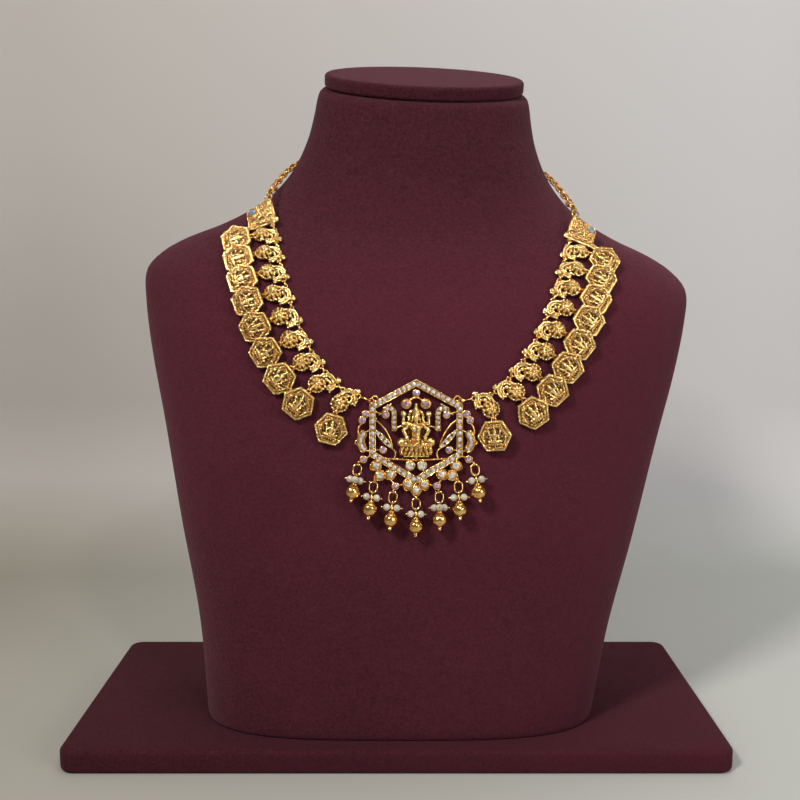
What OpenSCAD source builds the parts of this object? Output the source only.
// Temple jewellery necklace on a plain velvet neck bust and board.
// Millimetres, +Z up, the front faces -Y, the origin is the middle of the board's underside.

/* [Board] */
// Width of the velvet board
board_w = 269; // [240:1:300]
// Depth of the velvet board
board_d = 120; // [112:1:140]
// Thickness of the velvet board
board_h = 10; // [7:0.5:16]
// Corner radius of the board seen from above
board_r = 6; // [3:0.5:12]
// Rounding of the board's long edges
board_edge = 2; // [1:0.25:3]

/* [Neck bust] */
// Height of the bust to the middle of its slanted neck rim
bust_h = 265.5; // [255:0.5:280]
// Width of the bust at its foot
foot_w = 166; // [150:1:180]
// Width of the bust across the shoulders
shoulder_w = 231.2; // [224:0.4:240]
// Width of the neck at its rim
neck_w = 92.4; // [88:0.4:98]
// Depth of the bust at its foot
bust_d = 94; // [90:0.5:98]
// Slant of the neck rim, lower in front, in degrees
rim_slant = 18; // [10:1:24]
// Lean of the bust to the right as it stands, in degrees
bust_lean = 2.3; // [0:0.1:3]
// How far the bust stands to the right of the board's middle
bust_x = 1.3; // [-5:0.1:5]
// Gap between padded pieces that stand on each other
seat_gap = 0.2; // [0.1:0.05:0.3]
// Width of the oval cap disc
cap_w = 87; // [80:0.5:91]
// Depth of the oval cap disc along its slant
cap_d = 57; // [52:0.5:60]
// Thickness of the oval cap disc
cap_t = 6; // [4:0.25:8]

/* [Drape] */
// How far the necklace sits to the right of the bust's axis
drape_x = 1.4; // [0:0.1:3]
// How much wider the left side lies than the route
left_wide = 1.6; // [0:0.1:2]
// How much wider the right side lies than the route
right_wide = 0.6; // [0:0.1:2]
// Height of the pendant's middle above the foot of the bust
pendant_z = 125.5; // [118:0.5:132]
// Height of the pendant's back above the velvet
pendant_lift = 0.8; // [0.6:0.1:1.5]

/* [Links and coins] */
// Links on each side of the pendant
links = 9; // [9:1:9]
// Distance between two joining rings along the chain of links
link_pitch = 9.1; // [9.05:0.05:9.3]
// How much further apart the links of the left side hang in their rings
left_slack = 0.45; // [0.1:0.05:0.5]
// Extra reach of each joining ring on the right row, in mm
right_slack = 0.15; // [0.1:0.05:0.3]
// How much longer the first joining link is than a joining ring
first_gap = 2.6; // [2.2:0.1:3]
// Height of the links' backs above the velvet
link_lift = 1.2; // [1.15:0.05:1.5]
// Thickness of the cast plate of a link
link_t = 1.1; // [1:0.05:1.3]
// Outer radius of a link's arch
arch_r = 3.85; // [3.7:0.05:3.9]
// Width of the arch band
arch_band = 1.7; // [1.5:0.05:1.9]
// Radius of the domed flower boss
boss_r = 3.4; // [3.2:0.05:3.6]
// Height of the boss above the link's back
boss_h = 3.2; // [2.8:0.1:3.6]
// Widest measure of a hexagonal coin, corner to corner
coin_w = 13.8; // [13.4:0.1:14.2]
// Thickness of a coin's plate
coin_t = 1; // [0.8:0.05:1.1]
// Height of a coin's raised rim
rim_h = 0.45; // [0.3:0.05:0.5]
// Width of a coin's raised rim
rim_w = 1; // [0.8:0.05:1.2]
// Tilt that lays each coin over the next one up, in degrees
coin_tilt = 11; // [10:0.25:12]
// Height of a coin's outer edge above the velvet
coin_edge_lift = 1.6; // [1.4:0.1:2.2]
// Radius of the wire of lugs and joining rings
ring_wire = 0.25; // [0.2:0.01:0.28]
// Radius of a joining ring to the middle of its wire
ring_r = 1.13; // [1.1:0.01:1.15]
// Radius of a lug to the middle of its wire
lug_r = 0.85; // [0.82:0.01:0.9]

/* [Back chain] */
// Length of an end piece from its lug to its chain loop
end_l = 16; // [15:0.1:16.5]
// How far an end piece's chain loop stands off the velvet
end_rise = 4; // [3.8:0.1:4.4]
// Length of a chain link outside
chain_l = 5.2; // [5:0.05:5.4]
// Width of a chain link outside
chain_w = 3.4; // [3.2:0.05:3.6]
// Radius of the chain wire
chain_wire = 0.4; // [0.35:0.01:0.42]
// Height of the chain's middle above the velvet
chain_lift = 2.1; // [2:0.05:2.4]

/* [Pendant] */
// Width of the hexagonal frame between the middles of its upright bands
hex_w = 33.8; // [33:0.1:34.4]
// Height from the pendant's middle to the frame's top point
hex_top = 19.2; // [18.8:0.1:19.6]
// Height from the pendant's middle to the frame's lowest point
hex_bottom = 18.6; // [18.2:0.1:19]
// Height from the pendant's middle to the upper corners
hex_up = 10.2; // [10:0.1:10.6]
// Height from the pendant's middle to the lower corners
hex_low = 8.5; // [8.2:0.1:8.8]
// Width of the stone-set bands
band_w = 2.6; // [2.4:0.05:2.7]
// Thickness of the frame's back
band_t = 1.2; // [1:0.05:1.4]
// Height of the rails that hold the stones
rail_h = 0.55; // [0.4:0.05:0.7]
// Diameter of the small clear stones
pave_d = 1.5; // [1.4:0.02:1.56]
// Distance between the small clear stones
pave_pitch = 2.2; // [2.1:0.05:2.4]
// Diameter of the lilac stones
lilac_d = 2.1; // [1.9:0.05:2.2]
// Diameter of the stones in the scallops
scallop_d = 2.4; // [2.2:0.05:2.5]
// Diameter of the grey-blue stone of an end piece
end_stone_d = 3.2; // [2.8:0.1:3.4]
// Diameter of the two large clear stones
clear_d = 3; // [2.8:0.05:3.2]
// Space round each stone in its setting
stone_gap = 0.12; // [0.1:0.01:0.15]

/* [Drops] */
// Diameter of the hammered balls
ball_d = 6; // [5.6:0.1:6.4]
// Diameter of the pearls
pearl_d = 2.8; // [2.6:0.1:3]
// Diameter of the bead at the foot of each drop
tip_d = 1.5; // [1.3:0.1:1.7]
// Length of a drop's hanging ring outside
hang_l = 5; // [4.8:0.1:5.4]
// Width of a drop's hanging ring outside
hang_w = 3.8; // [3.6:0.1:4.2]
// Radius of the wire of a drop's hanging ring
hang_wire = 0.35; // [0.3:0.01:0.4]

/* [Hidden] */
SIDES = ["left", "right"];
$fn = 28;
eps = 0.01;

// Points round one padded outline
loft_n = 44;

// Sections of the bust from the foot up. SEC_Z is a share of the height, SEC_GIRTH runs from
// 0 at the foot's width through 1 at the shoulders' to 2 at the neck's, SEC_FRONT, SEC_BACK and
// SEC_MID are shares of the depth, SEC_POWER squares the outline and SEC_SLANT shares the slant.
SEC_Z = 0;
SEC_GIRTH = 1;
SEC_FRONT = 2;
SEC_BACK = 3;
SEC_MID = 4;
SEC_POWER = 5;
SEC_SLANT = 6;
BUST = [
    [0,     0,     0.51,  0.49,  -0.043, 3.4,  0],
    [0.151, 0.153, 0.51,  0.49,  -0.043, 3.2,  0],
    [0.301, 0.414, 0.505, 0.49,  -0.037, 3,    0],
    [0.452, 0.66,  0.495, 0.48,  -0.021, 2.8,  0],
    [0.565, 0.868, 0.479, 0.457, 0,      2.6,  0],
    [0.648, 0.988, 0.447, 0.436, 0.032,  2.5,  0],
    [0.693, 1,     0.415, 0.415, 0.064,  2.4,  0],
    [0.723, 1.095, 0.388, 0.4,   0.09,   2.3,  0],
    [0.746, 1.24,  0.367, 0.383, 0.112,  2.25, 0],
    [0.768, 1.434, 0.351, 0.372, 0.133,  2.2,  0],
    [0.798, 1.636, 0.335, 0.362, 0.154,  2.15, 0],
    [0.829, 1.772, 0.328, 0.351, 0.173,  2.1,  0],
    [0.866, 1.873, 0.319, 0.34,  0.191,  2.1,  0],
    [0.912, 1.945, 0.319, 0.335, 0.213,  2.1,  0.2],
    [0.953, 1.98,  0.319, 0.33,  0.226,  2.1,  0.7],
    [0.985, 2,     0.314, 0.325, 0.234,  2.1,  0.97],
    [0.996, 2.02,  0.304, 0.315, 0.234,  2.1,  1],
    [1,     2.06,  0.28,  0.29,  0.234,  2.1,  1]];

// The girth column as half a width
function half_girth(g) = g <= 1
    ? (foot_w + (shoulder_w - foot_w) * g) / 2
    : (shoulder_w + (neck_w - shoulder_w) * (g - 1)) / 2;

// The same sections in millimetres
ROWS = [for (r = BUST) [r[SEC_Z] * bust_h, half_girth(r[SEC_GIRTH]), r[SEC_FRONT] * bust_d,
    r[SEC_BACK] * bust_d, r[SEC_MID] * bust_d, r[SEC_POWER], r[SEC_SLANT]]];
HALF = 1;
last_row = len(ROWS) - 1;

function seg(z, i = 0) = (i >= last_row - 1 || ROWS[i + 1][SEC_Z] > z) ? i : seg(z, i + 1);
function slope(i) = let (a = max(i - 1, 0), b = min(i + 1, last_row))
    (ROWS[b] - ROWS[a]) / (ROWS[b][SEC_Z] - ROWS[a][SEC_Z]);

// One smooth section of the bust at height z
function section(z) = let (
    i = seg(z),
    h = ROWS[i + 1][SEC_Z] - ROWS[i][SEC_Z],
    t = (z - ROWS[i][SEC_Z]) / h)
    (2 * t ^ 3 - 3 * t ^ 2 + 1) * ROWS[i] + (t ^ 3 - 2 * t ^ 2 + t) * h * slope(i)
    + (3 * t ^ 2 - 2 * t ^ 3) * ROWS[i + 1] + (t ^ 3 - t ^ 2) * h * slope(i + 1);

function swell(c, p) = sign(c) * abs(c) ^ (2 / p);

// A point of the velvet at angle a, 0 to the right and 90 at the back, and height z
function skin(a, z) = let (
    s = section(z),
    y = (sin(a) < 0 ? s[SEC_FRONT] : s[SEC_BACK]) * swell(sin(a), s[SEC_POWER]))
    [s[HALF] * swell(cos(a), s[SEC_POWER]), s[SEC_MID] + y, z + s[SEC_SLANT] * tan(rim_slant) * y];

// The front of the velvet at x and height z
function front(x, z) = let (
    s = section(z),
    u = min(abs(x) / s[HALF], 0.999))
    [x, s[SEC_MID] - s[SEC_FRONT] * (1 - u ^ s[SEC_POWER]) ^ (1 / s[SEC_POWER]), z];

function unit(v) = v / norm(v);
probe = 0.6;
function front_normal(x, z) = unit(cross(
    front(x + probe, z) - front(x - probe, z), front(x, z + probe) - front(x, z - probe)));
function skin_normal(a, z) = unit(cross(
    skin(a + probe, z) - skin(a - probe, z), skin(a, z + probe) - skin(a, z - probe)));

// A frame with its origin at o, its x axis along x and its z axis as near to z as can be
function frame_at(o, x, z) = let (
    ux = unit(x),
    uy = unit(cross(z, ux)),
    uz = cross(ux, uy))
    [[ux[0], uy[0], uz[0], o[0]], [ux[1], uy[1], uz[1], o[1]], [ux[2], uy[2], uz[2], o[2]],
        [0, 0, 0, 1]];
function place(m, p) = let (q = m * [p[0], p[1], p[2], 1]) [q[0], q[1], q[2]];
function turn(m, v) = place(m, v) - place(m, [0, 0, 0]);

// The pendant hangs plumb in front of the leaning bust
pend_o = front(drape_x, pendant_z);
pend_n = unit(cross([1, 0, 0],
    front(drape_x, pendant_z + hex_top) - front(drape_x, pendant_z - hex_bottom)));
PENDANT = frame_at(pend_o + pend_n * pendant_lift,
    [cos(bust_lean), 0, sin(bust_lean)], pend_n);
ear_x = hex_w / 2 + 0.5;
ear_y = hex_up + 2.1;
ear_z = band_t / 2;

// The chosen route of the line of joining rings, as distance from the necklace's axis and height
// above the foot of the bust, from the pendant's ears up
DRAPE = [[28, 141], [35.6, 148.4], [41.4, 156.4], [46.2, 165], [50, 173.6], [53, 181.8],
    [55.6, 189.4], [57.8, 196.8], [59.6, 204.4], [61, 212], [61.8, 219]];
function drape_route(side) = let (
    e = place(PENDANT, [side * (ear_x + ring_r), ear_y + 0.2, 0]))
    concat([[side * (e[0] - drape_x), e[2]]],
        [for (p = DRAPE) [p[0] + (side < 0 ? left_wide : right_wide), p[1]]]);

// The chosen route of the back chain: angle round the neck and height above the foot
NAPE = [[-2, 226.5], [19, 233], [42, 236.5], [66, 238.5], [90, 239], [114, 238.5]];
nape_end = len(NAPE) - 2;

// A smooth curve through a list of points, at t from 0 to the last index
function through(p, t) = let (
    i = min(floor(t), len(p) - 2),
    f = t - i,
    a = p[i],
    b = p[i + 1],
    da = (b - p[max(i - 1, 0)]) / 2,
    db = (p[min(i + 2, len(p) - 1)] - a) / 2)
    (2 * f ^ 3 - 3 * f ^ 2 + 1) * a + (f ^ 3 - 2 * f ^ 2 + f) * da
    + (3 * f ^ 2 - 2 * f ^ 3) * b + (f ^ 3 - f ^ 2) * db;

route_step = 0.1;
function drape_curve(side) = let (p = drape_route(side))
    [for (t = [0 : route_step : len(p) - 1 + eps])
        let (q = through(p, min(t, len(p) - 1))) front(drape_x + side * q[0], q[1])];

// Lengths along a curve, and a point of the curve at a length
function lengths(c, i = 0, s = 0) = i >= len(c) - 1 ? [s]
    : concat([s], lengths(c, i + 1, s + norm(c[i + 1] - c[i])));
function at_length(c, l, s) = [for (k = [0 : 2]) lookup(s, [for (i = [0 : len(c) - 1]) [l[i], c[i][k]]])];

DRAPES = [for (side = [-1, 1]) drape_curve(side)];
DRAPE_LENGTHS = [for (c = DRAPES) lengths(c)];
// Frame of link i: x runs up the chain, z off the velvet, and y inwards on the right side
// and outwards on the left, where the piece is drawn mirrored
boss_x = 2.2;
boss_y = -5.5;
function row_frame(side, from, to, rise = 0, reach = boss_y, lift = link_lift) = let (
    k = side < 0 ? 0 : 1,
    a = at_length(DRAPES[k], DRAPE_LENGTHS[k], from),
    c = at_length(DRAPES[k], DRAPE_LENGTHS[k], to),
    b = c + front_normal(c[0], c[2]) * rise,
    o = (a + b) / 2,
    x = unit(b - a),
    n = front_normal(o[0], o[2]),
    q = o + side * cross(n, x) * reach,
    s = front(q[0], q[2]) + n * rise / 2,
    z = unit(side * cross(s - o, x)))
    frame_at(o + z * lift, x, z);
function slack(side) = side < 0 ? left_slack : right_slack;
function row_at(side, i) = first_gap + i * (link_pitch + slack(side));
function link_frame(side, i) = row_frame(side, row_at(side, i - 1), row_at(side, i));

// The hinge between boss and coin, in the link's own frame
ring_y = boss_y - boss_r + 0.1;
lug_gap = 1.02;
hinge_y = ring_y - lug_gap;
hinge_z = 0.95;
coin_in = coin_w / 2 * cos(30);
coin_edge = 0.22;

// How far each coin, from the pendant up, has swung towards the pendant, in degrees, left row first
COIN_DROOP = [[9, 8, 7, 7, 8, 10, 12, 14, 16], [9, 8, 9, 12, 15, 18, 20, 23, 26]];
function coin_frame(side, i) = let (
    m = link_frame(side, i),
    a = COIN_DROOP[side < 0 ? 0 : 1][i - 1],
    h = place(m, [boss_x, side * hinge_y, hinge_z]),
    x = turn(m, [cos(a), -side * sin(a), 0]),
    o = turn(m, [-sin(a), -side * cos(a), 0]),
    far = h + o * (coin_in * 2 + coin_edge),
    foot = front(far[0], far[2]) + front_normal(far[0], far[2]) * coin_edge_lift,
    y = unit(h - foot) * side,
    z = cross(x, y))
    frame_at(h, cross(y, z), z);

// Padded outline shapes
module loft(rings) {
    n = len(rings[0]);
    polyhedron(
        points = [for (r = rings) for (p = r) p],
        faces = concat(
            [[for (i = [0 : n - 1]) i]],
            [for (k = [0 : len(rings) - 2]) for (i = [0 : n - 1]) let (j = (i + 1) % n)
                [k * n + i, (k + 1) * n + i, (k + 1) * n + j, k * n + j]],
            [[for (i = [n - 1 : -1 : 0]) (len(rings) - 1) * n + i]]));
}

// Heights of the rings of the bust: the table's, with one more between where the shoulders curve
function curved(i) = BUST[i][SEC_Z] > 0.4 && BUST[i][SEC_Z] < 0.9 ? 2 : 1;
BUST_Z = concat([for (i = [0 : last_row - 1]) for (k = [0 : curved(i) - 1])
    ROWS[i][SEC_Z] + (ROWS[i + 1][SEC_Z] - ROWS[i][SEC_Z]) * k / curved(i)], [bust_h]);

// Height and inset of the rings of a padded disc or board with rounded edges
ROUND = [[0, 1], [0.3, 0.3], [1, 0]];
function padded(h, edge) = concat([for (r = ROUND) r * edge],
    [for (i = [2 : -1 : 0]) [h - ROUND[i][0] * edge, ROUND[i][1] * edge]]);

module on_board() {
    translate([bust_x, 0, board_h + seat_gap]) rotate([0, bust_lean, 0]) children();
}

module base_board() {
    w = board_w / 2 - board_r;
    d = board_d / 2 - board_r;
    corner_n = 8;
    color("maroon") loft([for (e = padded(board_h, board_edge))
        [for (k = [0 : 3]) for (i = [0 : corner_n - 1])
            let (a = 90 * k + 90 * i / (corner_n - 1), r = board_r - e[1])
            [(k == 0 || k == 3 ? w : -w) + r * cos(a), (k < 2 ? d : -d) + r * sin(a), e[0]]]]);
}

module bust() {
    foot = [for (i = [0 : loft_n - 1]) let (p = skin(360 * i / loft_n, 0))
        [p[0], p[1], p[0] * tan(bust_lean)]];
    rest = [for (z = BUST_Z) if (z > 0) [for (i = [0 : loft_n - 1]) skin(360 * i / loft_n, z)]];
    color("maroon") on_board() loft(concat([foot], rest));
}

module bust_cap() {
    cap_edge = 1.2;
    color("maroon") on_board()
        translate([0, ROWS[last_row][SEC_MID], bust_h]) rotate([rim_slant, 0, 0])
            translate([0, 0, seat_gap]) loft([for (e = padded(cap_t, cap_edge))
                [for (i = [0 : loft_n - 1]) let (a = 360 * i / loft_n)
                    [(cap_w / 2 - e[1]) * cos(a), (cap_d / 2 - e[1]) * sin(a), e[0]]]]);
}

// Wire work
module torus(r, wire, start = 0, angle = 360) {
    rotate([0, 0, start]) rotate_extrude(angle = angle) translate([r, 0]) circle(r = wire);
}

module rod(p, q, r) {
    d = q - p;
    l = norm(d);
    translate(p) rotate([0, acos(d[2] / l), atan2(d[1], d[0])]) cylinder(r = r, h = l);
}

// An oval ring in the xy plane, long along x
module oval(l, w, wire) {
    c = w / 2 - wire;
    s = (l - w) / 2;
    for (k = [0, 1]) rotate([0, 0, 180 * k]) translate([s, 0, 0]) torus(c, wire, -90, 180);
    for (k = [-1, 1]) translate([-s, k * c, 0]) rotate([0, 90, 0]) cylinder(r = wire, h = 2 * s);
}

module sector(r_in, r_out, start, angle, h) {
    rotate([0, 0, start]) rotate_extrude(angle = angle) translate([r_in, 0]) square([r_out - r_in, h]);
}

// One cast link: arch, peacock, flower boss and lugs, drawn for the right side
arch_y = arch_r * -0.62;
link_lug_r = lug_r - 0.05;
module link_body() {
    difference() {
        link_relief();
        translate([-10, -20, -5]) cube([20, 30, 5.03]);
        for (k = [-1, 1]) translate([k * (link_pitch / 2 - ring_r), 0, -1])
            cylinder(r = link_lug_r - ring_wire + 0.05, h = 6);
    }
    for (k = [-1, 1]) translate([k * (link_pitch / 2 - ring_r), 0, link_t / 2]) torus(link_lug_r, ring_wire);
    translate([boss_x, ring_y, hinge_z]) rotate([0, 90, 0]) torus(lug_r, ring_wire);
}

module link_relief() {
    arch_in = arch_r - arch_band;
    line_r = 0.28;
    translate([0, arch_y, 0]) {
        sector(arch_in, arch_r, -34, 224, link_t);
        for (r = [arch_in + line_r, arch_r - line_r])
            translate([0, 0, link_t]) torus(r, line_r, -33, 222);
        // The peacock's neck curls inside the arch and ends in its head
        translate([-0.3, -0.2, link_t * 0.6]) torus(1.35, 0.5, 40, 230);
        translate([0.75, 0.75, link_t * 0.9]) sphere(r = 0.8);
        translate([1.5, -0.9, link_t * 0.5]) sphere(r = 1.4);
        // Foot of the tail
        translate([-arch_r + 1.1, -0.9, link_t * 0.7]) sphere(r = 0.75);
    }
    // Knob at the end towards the pendant
    translate([-2.5, 1.3, link_t * 0.8]) sphere(r = 0.85);
    // Flower boss
    petals = 6;
    petal_r = 0.85;
    translate([boss_x, boss_y, 0]) {
        cylinder(r = boss_r - 0.6, h = link_t + 0.3);
        translate([0, 0, link_t - 0.8]) sphere(r = boss_h - link_t + 0.8);
        for (k = [0 : petals - 1]) rotate([0, 0, 360 / petals * k])
            translate([boss_r - petal_r, 0, link_t]) sphere(r = petal_r);
    }
}

module link(side, i) {
    color("goldenrod") on_board() multmatrix(link_frame(side, i))
        mirror([0, side < 0 ? 1 : 0, 0]) link_body();
}

// One hexagonal coin medallion with a seated figure, its lug at the origin
module seated_figure() {
    for (k = [-1 : 1]) translate([k * 1.9, -3.3 + abs(k) * 0.15, 0]) sphere(r = 0.95);
    rod([-2.9, -2.1, 0.1], [2.9, -2.1, 0.1], 0.85);
    translate([0, -2.2, 0.1]) rotate([-90, 0, 0]) cylinder(r1 = 1, r2 = 1.45, h = 3);
    for (k = [-1, 1]) {
        rod([k * 0.9, 0.5, 0.1], [k * 2.6, 1.7, 0.1], 0.45);
        translate([k * 2.6, 1.8, 0.05]) sphere(r = 0.65);
    }
    translate([0, 1.7, 0.2]) sphere(r = 0.9);
    translate([0, 2.1, 0.1]) rotate([-90, 0, 0]) cylinder(r1 = 0.75, r2 = 0.2, h = 1.7);
}

module coin_body() {
    c = -coin_edge - coin_in;
    back = ring_wire - 0.08;
    torus(lug_r, ring_wire);
    translate([0, c, back]) rotate([0, -coin_tilt, 0]) {
        cylinder(d = coin_w, h = coin_t, $fn = 6);
        translate([0, 0, coin_t - eps]) difference() {
            cylinder(d = coin_w, h = rim_h, $fn = 6);
            translate([0, 0, -1]) cylinder(d = coin_w - 2 * rim_w, h = rim_h + 2, $fn = 6);
        }
        translate([0, 0, coin_t]) torus(coin_in - rim_w - 0.9, 0.22);
        translate([0, -0.1, coin_t]) seated_figure();
    }
}

module coin(side, i) {
    color("darkgoldenrod") on_board() multmatrix(coin_frame(side, i))
        mirror([0, side < 0 ? 1 : 0, 0]) coin_body();
}

// Jump rings between neighbouring lugs, standing on the velvet
function lug_at(side, i, k) = place(link_frame(side, i),
    [k * (link_pitch / 2 - ring_r), 0, link_t / 2]);
function end_frame(side) = row_frame(side, row_at(side, links), row_at(side, links) + end_l,
    end_rise, end_reach, end_lift);
end_lug_x = ring_r - end_l / 2;
end_reach = -9;
end_lift = link_lift + 0.4;
function above(side, i) = i < links ? lug_at(side, i + 1, -1)
    : place(end_frame(side), [end_lug_x, 0, link_t / 2]);
function below(side, i) = i > 0 ? lug_at(side, i, 1)
    : place(PENDANT, [side * ear_x, ear_y, ear_z]);

module joining_rings() {
    color("gold") on_board() for (side = [-1, 1]) for (i = [0 : links]) {
        a = below(side, i);
        b = above(side, i);
        o = (a + b) / 2;
        multmatrix(frame_at(o, b - a, front_normal(o[0], o[2]))) rotate([90, 0, 0])
            if (i > 0) torus(ring_r + slack(side) / 2, ring_wire);
            else oval(2 * (ring_r + ring_wire) + first_gap, 2 * (ring_r + ring_wire), ring_wire);
    }
}

// End pieces: double bars, a fan of scrolls, a stone and a loop for the chain
end_loop_r = 1.45;
end_loop_wire = 0.35;
end_turn = 16;
end_loop_x = end_l / 2 - end_loop_wire / 2;
end_stone_x = 1.9;
end_stone_y = -7.8;
bezel_wall = 0.35;
bezel_floor = 0.6;
bezel_h = 1.9;
module cup(d) {
    r = d / 2 + stone_gap;
    rotate_extrude() polygon([[0, 0], [r + bezel_wall, 0], [r + bezel_wall, bezel_h], [r, bezel_h],
        [r, bezel_floor], [0, bezel_floor]]);
}

// Scrolls on the fan, with x, y and radius
SCROLL = [[-2.5, -0.4, 1.5], [-2.6, -4.2, 1.6], [-2.4, -8, 1.3], [2.2, -0.3, 1.2], [1.2, -3.7, 1.3]];
module end_body() {
    bar_r = 0.6;
    translate([end_lug_x, 0, link_t / 2]) torus(link_lug_r, ring_wire);
    for (x = [end_lug_x + 1.4, end_lug_x + 2.5]) rod([x, -11, bar_r], [x, 2.2, bar_r], bar_r);
    difference() {
        linear_extrude(link_t) polygon([[end_lug_x + 2.3, -10.4], [end_lug_x + 2.3, 1.9], [3, 1.5],
            [6.8, 0.8], [6.8, -0.8], [4.4, -6.5], [3.2, -9.8]]);
        translate([end_stone_x, end_stone_y, -1]) cylinder(d = end_stone_d, h = 4);
    }
    for (p = SCROLL) translate([p[0], p[1], link_t]) torus(p[2], 0.36);
    translate([4.3, -0.2, link_t]) sphere(r = 0.8);
    translate([3.8, -3.2, link_t]) sphere(r = 0.7);
    translate([end_lug_x + 1, -11.6, 0.8]) sphere(r = 1);
    translate([end_loop_x, 0, link_t / 2]) torus(end_loop_r, end_loop_wire);
    translate([end_stone_x, end_stone_y, 0]) cup(end_stone_d);
}

module terminal(side) {
    color("goldenrod") on_board() multmatrix(end_frame(side))
        mirror([0, side < 0 ? 1 : 0, 0]) end_body();
}

// A cut stone with a table, eight crown facets and eight pavilion facets, its lowest point at 0
module cut_stone(d) {
    r = d / 2 * cos(22.5);
    deep = d * 0.36;
    crown = d * 0.16;
    flat = r * 0.6;
    culet = r * 0.12;
    intersection_for(k = [0 : 3]) rotate([90, 0, 45 * k + 22.5])
        translate([0, 0, -r]) linear_extrude(d) polygon([[-culet, 0], [culet, 0], [r, deep],
            [flat, deep + crown], [-flat, deep + crown], [-r, deep]]);
}

module terminal_stones() {
    color("slategray") on_board() for (side = [-1, 1]) multmatrix(end_frame(side))
        mirror([0, side < 0 ? 1 : 0, 0])
            translate([end_stone_x, end_stone_y, bezel_floor + stone_gap]) cut_stone(end_stone_d);
}

// Back chain of interlocking oval links, from the end piece to the clasp
clasp_half = 4.2;
wire_gap = 0.16;
chain_reach = chain_l / 2 - chain_wire;
chain_end = chain_reach - 2 * chain_wire - wire_gap;
chain_max = 2 * chain_reach - 2 * chain_wire - wire_gap;
function nape_at(t, side) = let (
    q = through(NAPE, min(t, len(NAPE) - 1)),
    p = skin(q[0], q[1]) + skin_normal(q[0], q[1]) * chain_lift)
    [side * p[0], p[1], p[2]];
function chain_curve(side) = let (
    start = place(end_frame(side), [end_loop_x + end_loop_r * cos(end_turn),
        side * end_loop_r * sin(end_turn), link_t / 2]),
    p = concat([start], [for (t = [0 : len(NAPE) - 1]) nape_at(t, side)]))
    [for (t = [0 : route_step : nape_end + 1 + eps]) through(p, t)];

module chain(side) {
    c = chain_curve(side);
    l = lengths(c);
    total = l[len(l) - 1] - clasp_half;
    n = 2 * ceil((total - 2 * chain_end) / chain_max / 2) + 1;
    pitch = (total - 2 * chain_end) / (n - 1);
    color("gold") on_board() for (i = [0 : n - 1]) {
        s = chain_end + i * pitch;
        o = at_length(c, l, s);
        t = at_length(c, l, s + 0.4) - at_length(c, l, s - 0.4);
        away = unit([o[0], o[1] - section(o[2])[SEC_MID], 0]);
        multmatrix(frame_at(o, t, away * min(i / 4, 1) + turn(end_frame(side), [0, 0, 1]) * max(1 - i / 4, 0)))
            rotate([90 - 90 * (i % 2), 0, 0]) oval(chain_l, chain_w, chain_wire);
    }
}

// A plain hook clasp behind the neck, one piece
module clasp() {
    o = nape_at(nape_end, 1);
    n0 = skin_normal(90, NAPE[nape_end][1]);
    loop_r = 1.45;
    color("gold") on_board() multmatrix(frame_at(o, [1, 0, 0], n0)) {
        for (k = [-1, 1]) translate([k * (clasp_half - loop_r), 0, 0]) torus(loop_r, chain_wire);
        rod([-1.45, 0, 0], [1.45, 0, 0], 0.75);
        translate([0, 0, 0]) sphere(r = 1.05);
    }
}

// Shapes of the pendant's frame in its own plane
H = [[0, hex_top], [-hex_w / 2, hex_up], [-hex_w / 2, -hex_low], [0, -hex_bottom],
    [hex_w / 2, -hex_low], [hex_w / 2, hex_up]];
function right_of(a, b) = unit([b[1] - a[1], a[0] - b[0]]);
function grown(d) = [for (i = [0 : 5]) let (
    a = H[(i + 5) % 6],
    b = H[i],
    c = H[(i + 1) % 6],
    m = right_of(a, b),
    n = right_of(b, c))
    b + (m + n) / (1 + m * n) * d];

module hex_ring(outer, inner, h) {
    linear_extrude(h) difference() {
        polygon(grown(outer));
        polygon(grown(inner));
    }
}

rail_w = 0.4;
set_h = band_t + rail_h;

// A band with a channel for stones: round the hexagon, straight, as an arc and as a leaf
module set_hexagon(w) {
    difference() {
        hex_ring(w / 2, -w / 2, set_h);
        translate([0, 0, band_t]) hex_ring(w / 2 - rail_w, rail_w - w / 2, set_h);
    }
}
module set_bar(p, q, w) {
    d = q - p;
    l = norm(d);
    translate([p[0], p[1], 0]) rotate([0, 0, atan2(d[1], d[0])]) difference() {
        translate([0, -w / 2, 0]) cube([l, w, set_h]);
        translate([rail_w, rail_w - w / 2, band_t]) cube([l - 2 * rail_w, w - 2 * rail_w, set_h]);
    }
}
module set_arc(o, r, start, angle, w) {
    end = 60 * rail_w / r;
    translate([o[0], o[1], 0]) difference() {
        sector(r - w / 2, r + w / 2, start, angle, set_h);
        translate([0, 0, band_t])
            sector(r - w / 2 + rail_w, r + w / 2 - rail_w, start + end, angle - 2 * end, set_h);
    }
}
module lens(l, w, h) {
    r = (l ^ 2 + w ^ 2) / 4 / w;
    intersection_for(k = [-1, 1]) translate([0, k * (r - w / 2), 0]) cylinder(r = r, h = h);
}
module set_leaf(p, q, w) {
    d = q - p;
    l = norm(d);
    translate([(p[0] + q[0]) / 2, (p[1] + q[1]) / 2, 0]) rotate([0, 0, atan2(d[1], d[0])]) difference() {
        lens(l, w, set_h);
        translate([0, 0, band_t]) lens(l - 3 * rail_w, w - 2 * rail_w, set_h);
    }
}

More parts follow.
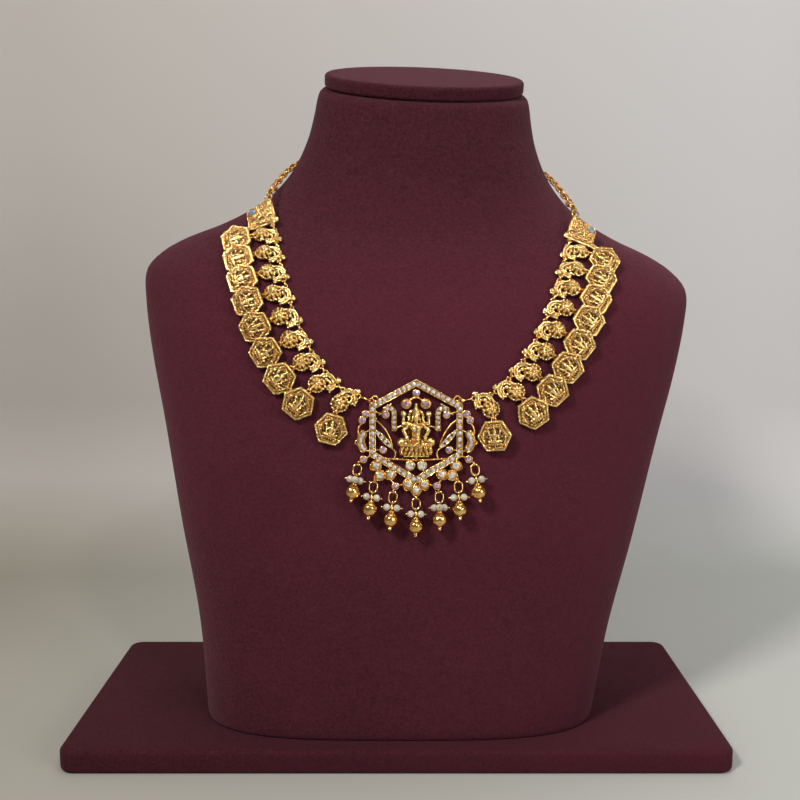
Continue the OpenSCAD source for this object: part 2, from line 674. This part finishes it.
// Bezels and eyes of the right half, mirrored for the left
LILAC = [[0, 15.3], [3.8, 11.1], [11.8, 6.9], [12.8, -6.7], [19.5, 7.2], [20.9, 4.8],
    [20.4, -10.4], [8.1, -20.8]];
SCALLOP = [[15.5, -12.9], [14, -16.7], [9.9, -16.2], [3.15, -20.1], [0, -22.4]];
CLEAR = [[2.3, -12.8]];
EYE = [[22.5, -12.3], [16.3, -19], [8.9, -23], [0, -25.5]];
SWING = [-11, -9, -5, -1, 1, 3, 9];
function both(list) = [for (p = list) for (k = [-1, 1]) if (p[0] > 0 || k > 0) [k * p[0], p[1]]];
wire_r = 0.36;
eye_z = 0.9;
cane_o = [10.6, 7.4];
cane_r = 2.1;
cane_w = 2;
leaf_w = 2.3;
moon_o = [17, -3.4];
moon_r = 4.45;
moon_w = 2.1;

wire_z = 0.6;
module wire(p, q) {
    rod([p[0], p[1], wire_z], [q[0], q[1], wire_z], wire_r);
}
// A bent wire from p to q, bulging by sag to the right
module bent_wire(p, q, sag) {
    l = norm(q - p);
    r = (l ^ 2 / 4 + sag ^ 2) / 2 / abs(sag);
    n = right_of(p, q) * sign(sag);
    o = (p + q) / 2 - n * (r - abs(sag));
    half = asin(l / 2 / r);
    translate([o[0], o[1], wire_z]) torus(r, wire_r, atan2(n[1], n[0]) - half, 2 * half);
}

module half_frame() {
    // Peacock neck, leaf and outer crescent
    translate([0, 0, 0.04]) {
        set_arc(cane_o, cane_r, 40, 142, cane_w);
        set_bar([cane_o[0] - cane_r, cane_o[1] + 0.5], [cane_o[0] - cane_r, 0.6], cane_w + 0.2);
        set_leaf([16.1, 1.2], [8.9, -6.5], leaf_w);
        set_arc(moon_o, moon_r, -56, 108, moon_w);
    }
    wire([13.2, 7.3], [16.6, 8.2]);
    bent_wire([16.8, 5.6], [9.2, -5.6], 1.5);
    bent_wire([9.7, -5.9], [8.5, -10], 1);
    wire([14.2, -6.8], [16.6, -6.9]);
    wire([moon_o[0] + 2.6, 0], [17.4, 1.2]);
    wire([moon_o[0] + 2.6, -7], [17.4, -7.6]);
    bent_wire([21.2, 3.5], [21.9, -2], -1);
    wire([17.2, -8.9], [19.2, -9.8]);
    wire([21.4, -11.3], [22.7, -11.5]);
    wire([15.3, -18.1], [16.5, -18.3]);
    wire([10.3, -17.8], [8.9, -19.7]);
    wire([6.8, -20.6], [4.7, -20.3]);
    wire([2.7, -14.5], [3.4, -16.2]);
    // Scroll loop under the top stone, side eyelet, and ear
    translate([LILAC[1][0], LILAC[1][1], 0.7]) torus(1.75, 0.33);
    translate([moon_o[0] + moon_r + 1.5, -3.9, 0.7]) torus(0.75, 0.28);
    translate([ear_x, ear_y, ear_z]) torus(lug_r, ring_wire);
    translate([ear_x - 0.5, ear_y - 1.4, 0.1]) cylinder(r = 0.9, h = band_t - 0.2);
    for (p = LILAC) if (p[0] > 0) translate([p[0], p[1], 0]) cup(lilac_d);
    for (p = CLEAR) translate([p[0], p[1], 0]) cup(clear_d);
    for (p = SCALLOP) if (p[0] > 0) translate([p[0], p[1], 0]) scallop();
    for (p = EYE) if (p[0] > 0) translate([p[0], p[1], 0]) eye();
}

module scallop() {
    cup(scallop_d);
    translate([0, 0, 0.6]) torus(scallop_d / 2 + stone_gap + bezel_wall + 0.25, 0.33);
}

module eye() {
    translate([0, 0, eye_z]) rotate([0, 90, 0]) torus(lug_r, ring_wire);
}

// The spine behind the figure, and the wire under it
spine_w = 1.3;
spine_h = 0.5;
module pendant_frame() {
    color("gold") on_board() multmatrix(PENDANT) {
        set_hexagon(band_w);
        for (k = [0, 1]) mirror([k, 0, 0]) half_frame();
        translate([LILAC[0][0], LILAC[0][1], 0]) cup(lilac_d);
        translate([0, SCALLOP[4][1], 0]) scallop();
        translate([0, EYE[3][1], 0]) eye();
        translate([-spine_w / 2, -11, 0.03]) cube([spine_w, hex_top + 10.5, spine_h]);
        bent_wire([-12.7, -10], [12.7, -10], 0.7);
        bent_wire([-2.5, 12.4], [2.5, 12.4], -1.2);
    }
}

module frame_stones() {
    color("white") on_board() multmatrix(PENDANT) for (i = [0 : 5]) {
        a = H[i];
        b = H[(i + 1) % 6];
        n = round(norm(b - a) / pave_pitch);
        for (k = [0 : n - 1]) {
            p = a + (b - a) * (k + 0.5) / n;
            translate([p[0], p[1], band_t + stone_gap]) cut_stone(pave_d);
        }
    }
}

module stones_at(list, d) {
    on_board() multmatrix(PENDANT) for (p = both(list))
        translate([p[0], p[1], bezel_floor + stone_gap]) cut_stone(d);
}
module lilac_stones() {
    color("plum") stones_at(LILAC, lilac_d);
}
module clear_stones() {
    color("white") {
        stones_at(SCALLOP, scallop_d);
        stones_at(CLEAR, clear_d);
    }
}

// Cast seated figure on its lotus, flat behind, in front of the frame's spine
module goddess_figure() {
    z = 1.6;
    back = spine_h + 0.32;
    color("goldenrod") on_board() multmatrix(PENDANT) difference() {
        union() {
            // Lotus and folded legs
            rod([-5.2, -7.6, z], [5.2, -7.6, z], 1.6);
            for (k = [-3 : 3]) translate([k * 1.9, -6.2 - abs(k) * 0.1, z + 0.3]) sphere(r = 1.2);
            rod([-5.6, -3.9, z + 0.3], [5.6, -3.9, z + 0.3], 1.5);
            for (k = [-1, 1]) translate([k * 5.6, -3.7, z + 0.3]) sphere(r = 1.8);
            // Body, head and crown
            translate([0, -3.4, z + 0.1]) rotate([-90, 0, 0]) cylinder(r1 = 2.1, r2 = 2.5, h = 5.2);
            translate([0, 2.2, z + 0.1]) sphere(r = 2.5);
            rod([0, 3.5, z], [0, 5, z], 0.9);
            translate([0, 5.9, z + 0.2]) sphere(r = 1.65);
            translate([0, 6.8, z]) rotate([-90, 0, 0]) cylinder(r1 = 1.55, r2 = 0.5, h = 3.6);
            translate([0, 10.6, z]) sphere(r = 0.65);
            translate([0, 6, z - 0.5]) torus(2.6, 0.35);
            // Lower hands rest open, upper hands hold lotus buds
            for (k = [-1, 1]) {
                rod([k * 2, 3.1, z], [k * 4.9, 0.9, z], 0.85);
                rod([k * 4.9, 0.9, z], [k * 3.6, -1.6, z + 0.9], 0.7);
                translate([k * 3.6, -1.7, z + 0.9]) sphere(r = 0.95);
                rod([k * 2, 3.3, z - 0.1], [k * 4.9, 3.4, z - 0.2], 0.7);
                rod([k * 4.9, 3.4, z - 0.2], [k * 4.9, 6.6, z - 0.2], 0.6);
                translate([k * 4.9, 7.2, z - 0.2]) sphere(r = 1.15);
            }
        }
        translate([-20, -20, back - 10]) cube([40, 40, 10]);
    }
}

// A drop, its eye at the origin: hanging ring, then neck, cross wire and ball in one piece
drop_tilt = -10;
neck_r = 0.45;
pearl_x = pearl_d / 2 + neck_r + 0.12;
pearl_z = pearl_x + 0.3;
pin_r = 0.26;
ring_top = 0.1;
ring_foot = ring_top + hang_l - 2 * hang_wire;
pearl_y = -ring_foot - lug_r - ring_wire - 0.8;
ball_y = -11 - (ball_d - 6) / 2;
function three(i) = i == 1 || i == 5;
function drop_eye(i) = i < 4 ? [-EYE[i - 1][0], EYE[i - 1][1]] : [EYE[7 - i][0], EYE[7 - i][1]];
module at_drop(i) {
    e = drop_eye(i);
    on_board() multmatrix(PENDANT) translate([e[0], e[1], eye_z])
        rotate([0, 0, SWING[i - 1]]) rotate([drop_tilt, 0, 0]) children();
}

module drop(i) {
    mid = -(ring_top + ring_foot) / 2;
    color("gold") at_drop(i) {
        translate([0, mid, 0]) rotate([0, 0, 90]) oval(hang_l, hang_w, hang_wire);
        translate([0, -ring_foot - 0.1, 0]) rotate([0, 90, 0]) torus(lug_r, ring_wire);
        rod([0, -ring_foot - lug_r, 0], [0, ball_y + ball_d / 2 - 0.4, 0], neck_r);
        rod([-pearl_x - pearl_d / 2 - 0.5, pearl_y, 0], [pearl_x + pearl_d / 2 + 0.5, pearl_y, 0], pin_r);
        for (k = [-1, 1]) translate([k * (pearl_x + pearl_d / 2 + 0.5), pearl_y, 0]) sphere(r = 0.42);
        if (three(i)) {
            rod([0, pearl_y, 0], [0, pearl_y, pearl_z + pearl_d / 2 + 0.5], pin_r);
            translate([0, pearl_y, pearl_z + pearl_d / 2 + 0.5]) sphere(r = 0.42);
        }
        translate([0, ball_y, 0]) sphere(d = ball_d);
        translate([0, ball_y + ball_d / 2, 0]) rotate([90, 0, 0]) torus(0.95, 0.4);
        translate([0, ball_y - ball_d / 2 + 0.1, 0]) rotate([90, 0, 0]) torus(0.65, 0.35);
        translate([0, ball_y - ball_d / 2 - tip_d / 2 + 0.25, 0]) sphere(d = tip_d);
    }
}

// A pearl drilled along z
module pearl() {
    hole_r = pin_r + 0.12;
    rotate_extrude() intersection() {
        circle(d = pearl_d);
        translate([hole_r, -pearl_d]) square([pearl_d, 2 * pearl_d]);
    }
}

module drop_pearls() {
    color("linen") for (i = [1 : 7]) at_drop(i) translate([0, pearl_y, 0]) {
        for (k = [-1, 1]) translate([k * pearl_x, 0, 0]) rotate([0, 90, 0]) pearl();
        if (three(i)) translate([0, 0, pearl_z]) pearl();
    }
}

base_board();
bust();
bust_cap();
for (s = SIDES) for (i = [1 : links]) {
    link(s == "left" ? -1 : 1, i);
    coin(s == "left" ? -1 : 1, i);
}
joining_rings();
terminal(-1);  // terminal_left
terminal(1);  // terminal_right
terminal_stones();
chain(-1);  // chain_left
chain(1);  // chain_right
clasp();
pendant_frame();
goddess_figure();
frame_stones();
lilac_stones();
clear_stones();
for (i = [1 : 7]) {
    drop(i);
}
drop_pearls();
